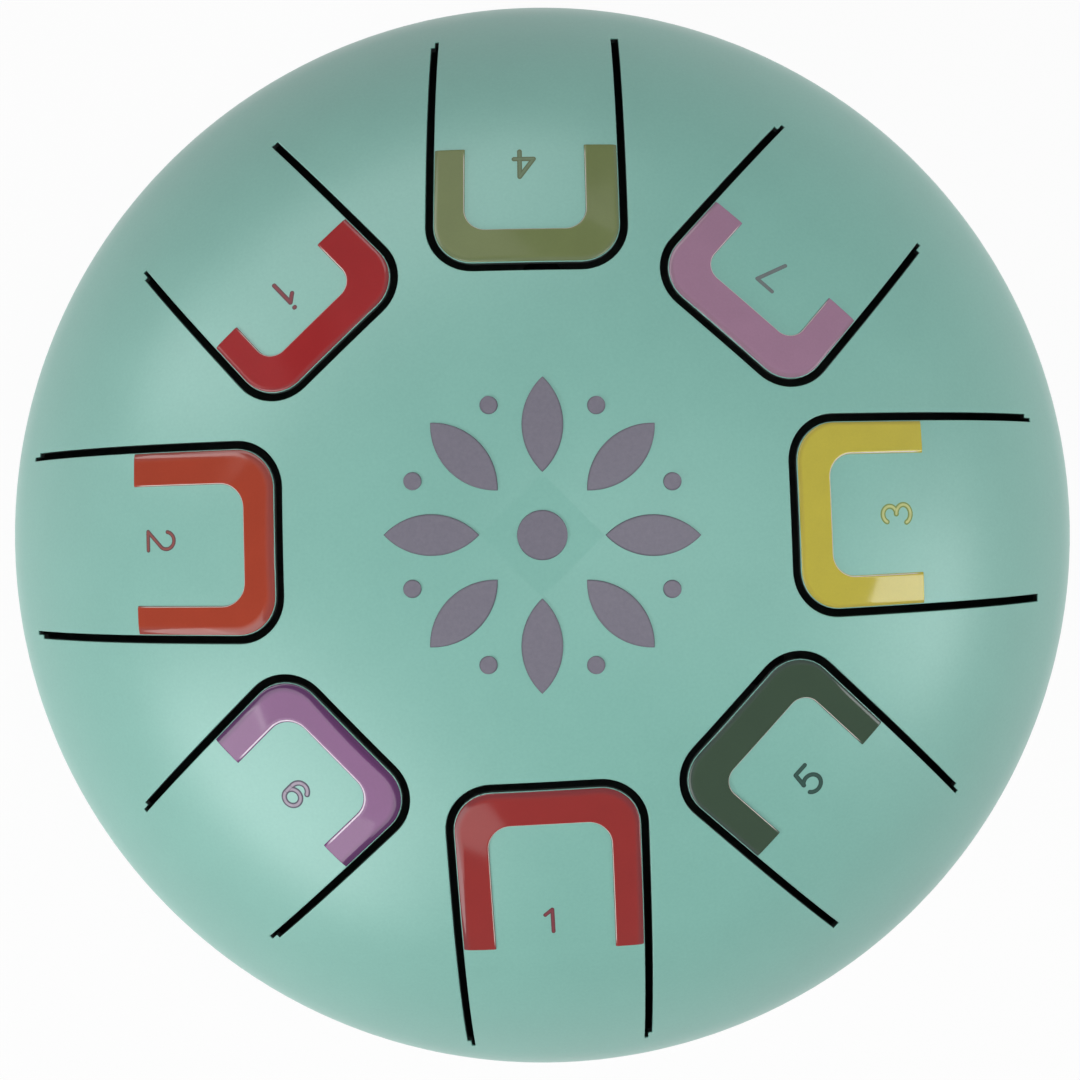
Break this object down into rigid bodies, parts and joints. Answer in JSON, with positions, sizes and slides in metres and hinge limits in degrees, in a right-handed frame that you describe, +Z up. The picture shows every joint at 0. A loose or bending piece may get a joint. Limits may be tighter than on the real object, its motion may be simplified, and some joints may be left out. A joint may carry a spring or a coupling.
{
  "type": "steel tongue drum",
  "caption": "Steel tongue drum: two domed sheet-steel shells welded at the rim, sprung tongues cut in the top, each with a coloured band and number, and a sound hole and rubber feet below.",
  "frame": {"origin": "centre of the base, on the ground plane under the drum's axis", "axes": "+Z up along the drum's axis; -Y towards the player, where the lowest tongue lies; +X to the player's right"},
  "size_m": [0.152, 0.152, 0.0792],
  "materials": {
    "shell_paint": "satin mint paint under a clear coat, with a fine orange peel",
    "band_red": "domed clear resin over red print",
    "band_orange": "domed clear resin over orange red print",
    "band_yellow": "domed clear resin over yellow print",
    "band_olive": "domed clear resin over olive print",
    "band_green": "domed clear resin over dark green print",
    "band_purple": "domed clear resin over purple print",
    "band_mauve": "domed clear resin over mauve print",
    "rosette_vinyl": "satin grey mauve vinyl",
    "foot_rubber": "matt black rubber"
  },
  "bodies": {
    "drum": {"top_shell": "shell_paint", "bottom_shell": "shell_paint", "rim_weld": "shell_paint", "centre_rosette": "rosette_vinyl", "rear_foot": "foot_rubber", "left_foot": "foot_rubber", "right_foot": "foot_rubber"},
    "tongue_1": {"tongue_1": "shell_paint", "band_1": "band_red"},
    "tongue_2": {"tongue_2": "shell_paint", "band_2": "band_orange"},
    "tongue_3": {"tongue_3": "shell_paint", "band_3": "band_yellow"},
    "tongue_4": {"tongue_4": "shell_paint", "band_4": "band_olive"},
    "tongue_5": {"tongue_5": "shell_paint", "band_5": "band_green"},
    "tongue_6": {"tongue_6": "shell_paint", "band_6": "band_purple"},
    "tongue_7": {"tongue_7": "shell_paint", "band_7": "band_mauve"},
    "tongue_high_1": {"tongue_high_1": "shell_paint", "band_high_1": "band_red"}
  },
  "joints": [
    {"name": "flex_1", "type": "hinge", "parent": "drum", "child": "tongue_1", "pos_m": [0.00239, -0.06882, 0.056], "axis": [0.9985, 0.0541, 0], "range_deg": [-0.4, 0.4], "stiffness_Nm_per_rad": 0.57, "springref_deg": 0.15},
    {"name": "flex_2", "type": "hinge", "parent": "drum", "child": "tongue_2", "pos_m": [-0.06851, -0.0015, 0.05636], "axis": [0.0192, -0.9998, 0], "range_deg": [-0.4, 0.4], "stiffness_Nm_per_rad": 0.61, "springref_deg": 0.13},
    {"name": "flex_3", "type": "hinge", "parent": "drum", "child": "tongue_3", "pos_m": [0.06559, 0.00365, 0.05911], "axis": [-0.0401, 0.9992, 0], "range_deg": [-0.4, 0.4], "stiffness_Nm_per_rad": 0.63, "springref_deg": 0.11},
    {"name": "flex_4", "type": "hinge", "parent": "drum", "child": "tongue_4", "pos_m": [-0.0024, 0.06623, 0.05857], "axis": [-0.9999, -0.0157, 0], "range_deg": [-0.4, 0.4], "stiffness_Nm_per_rad": 0.66, "springref_deg": 0.1},
    {"name": "flex_5", "type": "hinge", "parent": "drum", "child": "tongue_5", "pos_m": [0.0468, -0.04262, 0.06115], "axis": [0.6665, 0.7455, 0], "range_deg": [-0.4, 0.4], "stiffness_Nm_per_rad": 0.69, "springref_deg": 0.09},
    {"name": "flex_6", "type": "hinge", "parent": "drum", "child": "tongue_6", "pos_m": [-0.04394, -0.04459, 0.0617], "axis": [0.7022, -0.712, 0], "range_deg": [-0.4, 0.4], "stiffness_Nm_per_rad": 0.75, "springref_deg": 0.07},
    {"name": "flex_7", "type": "hinge", "parent": "drum", "child": "tongue_7", "pos_m": [0.04029, 0.04571, 0.06294], "axis": [-0.7559, 0.6547, 0], "range_deg": [-0.4, 0.4], "stiffness_Nm_per_rad": 0.78, "springref_deg": 0.06},
    {"name": "flex_high_1", "type": "hinge", "parent": "drum", "child": "tongue_high_1", "pos_m": [-0.04355, 0.04263, 0.06293], "axis": [-0.7181, -0.6959, 0], "range_deg": [-0.4, 0.4], "stiffness_Nm_per_rad": 0.81, "springref_deg": 0.05}
  ]
}
